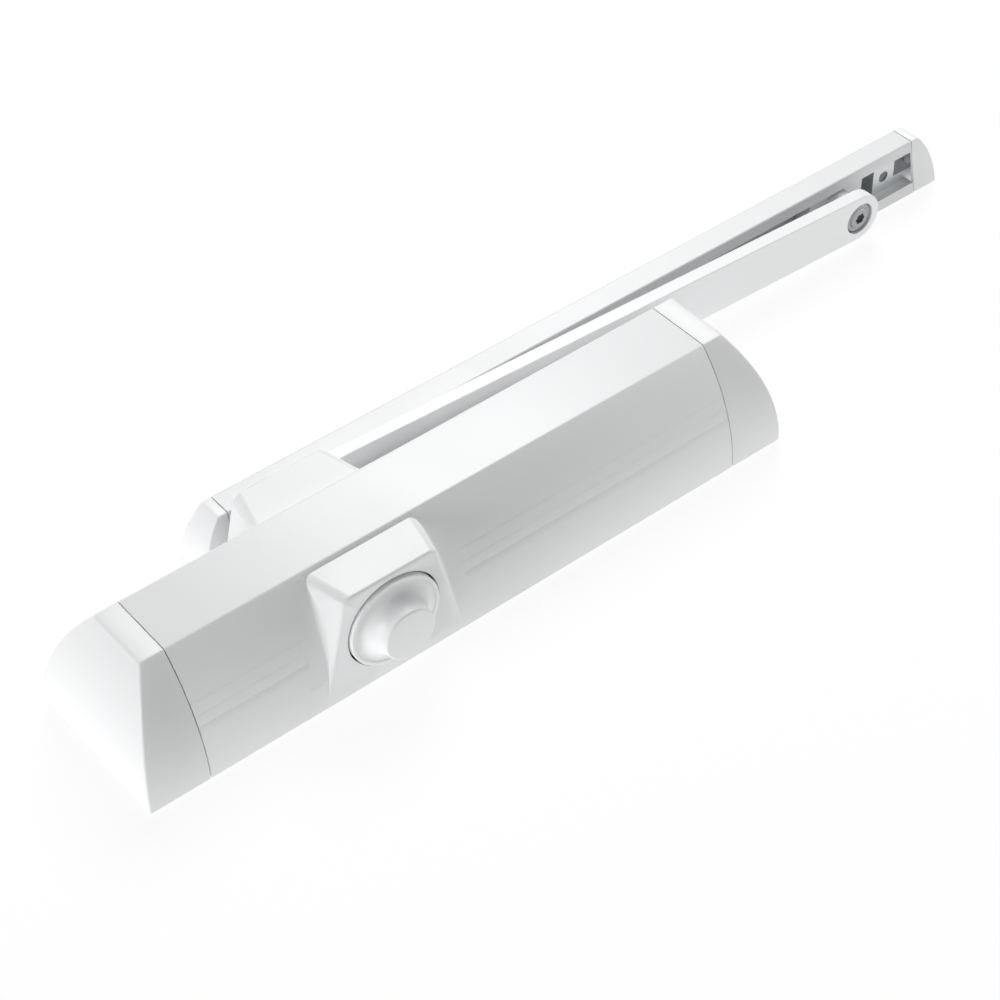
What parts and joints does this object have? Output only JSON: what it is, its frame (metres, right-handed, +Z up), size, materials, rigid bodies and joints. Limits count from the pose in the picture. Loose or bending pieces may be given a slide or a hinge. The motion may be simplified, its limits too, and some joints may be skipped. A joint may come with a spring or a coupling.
{
  "type": "overhead door closer",
  "caption": "Surface overhead door closer with a bowed cover, sloped end caps, cam and piston drive, flat arm and a separate guide rail with slide block.",
  "frame": {"origin": "centre of the four fixing holes on the face that bears on the door", "axes": "+Z up along the spindle as installed, +X along the closed arm, +Y into the door"},
  "size_m": [0.4425, 0.047, 0.1037],
  "materials": {
    "cover_white": "satin powder coat",
    "cap_white": "satin moulded",
    "rail_white": "satin powder coat",
    "arm_white": "satin enamel",
    "cast_body": "as cast, machined faces",
    "piston_iron": "ground",
    "steel": "ground",
    "zinc_steel": "zinc plated",
    "spring_steel": "shot peened",
    "brass": "turned",
    "seal_rubber": "moulded",
    "block_plastic": "moulded",
    "dark_steel": "blackened"
  },
  "bodies": {
    "closer": {"housing": "cast_body", "cover": "cover_white", "left_end_cap": "cap_white", "right_end_cap": "cap_white", "upper_cowl": "cap_white", "lower_cowl": "cap_white", "spindle_cap": "cap_white", "upper_gland": "steel", "lower_gland": "steel", "spindle_bearings": "steel", "spindle_seals": "seal_rubber", "left_end_plug": "steel", "right_end_plug": "steel", "plug_seals": "seal_rubber", "closing_spring": "spring_steel", "damping_spring": "spring_steel"},
    "arm": {"arm": "arm_white", "arm_screw": "zinc_steel", "spindle": "steel", "cam": "steel"},
    "closing_piston": {"closing_piston": "piston_iron", "closing_roller_pin": "steel"},
    "closing_roller": {"closing_roller": "steel"},
    "damping_piston": {"damping_piston": "piston_iron", "damping_roller_pin": "steel"},
    "damping_roller": {"damping_roller": "steel"},
    "spring_plate": {"spring_plate": "zinc_steel"},
    "adjuster": {"adjusting_screw": "zinc_steel"},
    "closing_valve": {"closing_valve": "brass"},
    "latching_valve": {"latching_valve": "brass"},
    "backcheck_valve": {"backcheck_valve": "brass"},
    "block": {"slide_block": "block_plastic", "pivot_bush": "steel", "pivot_screw": "zinc_steel"},
    "rail": {"guide_rail": "rail_white", "left_rail_cap": "cap_white", "right_rail_cap": "cap_white", "rail_fixing_blocks": "zinc_steel", "rail_set_screws": "dark_steel"}
  },
  "joints": [
    {"name": "arm_swing", "type": "hinge", "parent": "closer", "child": "arm", "pos_m": [-0.0395, -0.024, 0], "axis": [0, 0, 1], "range_deg": [0, 160], "stiffness_Nm_per_rad": 6, "springref_deg": -22.92},
    {"name": "closing_piston_travel", "type": "slide", "parent": "closer", "child": "closing_piston", "axis": [1, 0, 0], "range_m": [0, 0.0081], "deforming": ["closing_spring"]},
    {"name": "closing_roller_spin", "type": "hinge", "parent": "closing_piston", "child": "closing_roller", "pos_m": [-0.026, -0.024, 0], "axis": [0, 0, 1], "continuous": true},
    {"name": "damping_piston_travel", "type": "slide", "parent": "closer", "child": "damping_piston", "axis": [1, 0, 0], "range_m": [0, 0.0081], "deforming": ["damping_spring"]},
    {"name": "damping_roller_spin", "type": "hinge", "parent": "damping_piston", "child": "damping_roller", "pos_m": [-0.062, -0.024, 0], "axis": [0, 0, 1], "continuous": true},
    {"name": "adjuster_turn", "type": "hinge", "parent": "closer", "child": "adjuster", "pos_m": [0.112, -0.024, 0], "axis": [1, 0, 0], "range_deg": [0, 1800]},
    {"name": "spring_plate_travel", "type": "slide", "parent": "closer", "child": "spring_plate", "axis": [1, 0, 0], "range_m": [-0.0076, 0]},
    {"name": "closing_valve_turn", "type": "hinge", "parent": "closer", "child": "closing_valve", "pos_m": [0.105, -0.0075, -0.014], "axis": [1, 0, 0], "range_deg": [-360, 360]},
    {"name": "latching_valve_turn", "type": "hinge", "parent": "closer", "child": "latching_valve", "pos_m": [0.105, -0.0075, 0.014], "axis": [1, 0, 0], "range_deg": [-360, 360]},
    {"name": "backcheck_valve_turn", "type": "hinge", "parent": "closer", "child": "backcheck_valve", "pos_m": [-0.105, -0.0075, -0.014], "axis": [-1, 0, 0], "range_deg": [-360, 360]},
    {"name": "block_swivel", "type": "hinge", "parent": "arm", "child": "block", "pos_m": [0.24724, -0.0117, 0.0395], "axis": [0, 0, 1], "range_deg": [-90, 90]},
    {"name": "rail_slide", "type": "slide", "parent": "block", "child": "rail", "axis": [1, 0, 0], "range_m": [-0.006, 0.265]}
  ],
  "couplings": [
    {"joint": "closing_piston_travel", "follows": "arm_swing", "m_per_rad": 0.0028648},
    {"joint": "damping_piston_travel", "follows": "arm_swing", "m_per_rad": 0.0028648},
    {"joint": "spring_plate_travel", "follows": "adjuster_turn", "m_per_rad": -0.00023873}
  ]
}
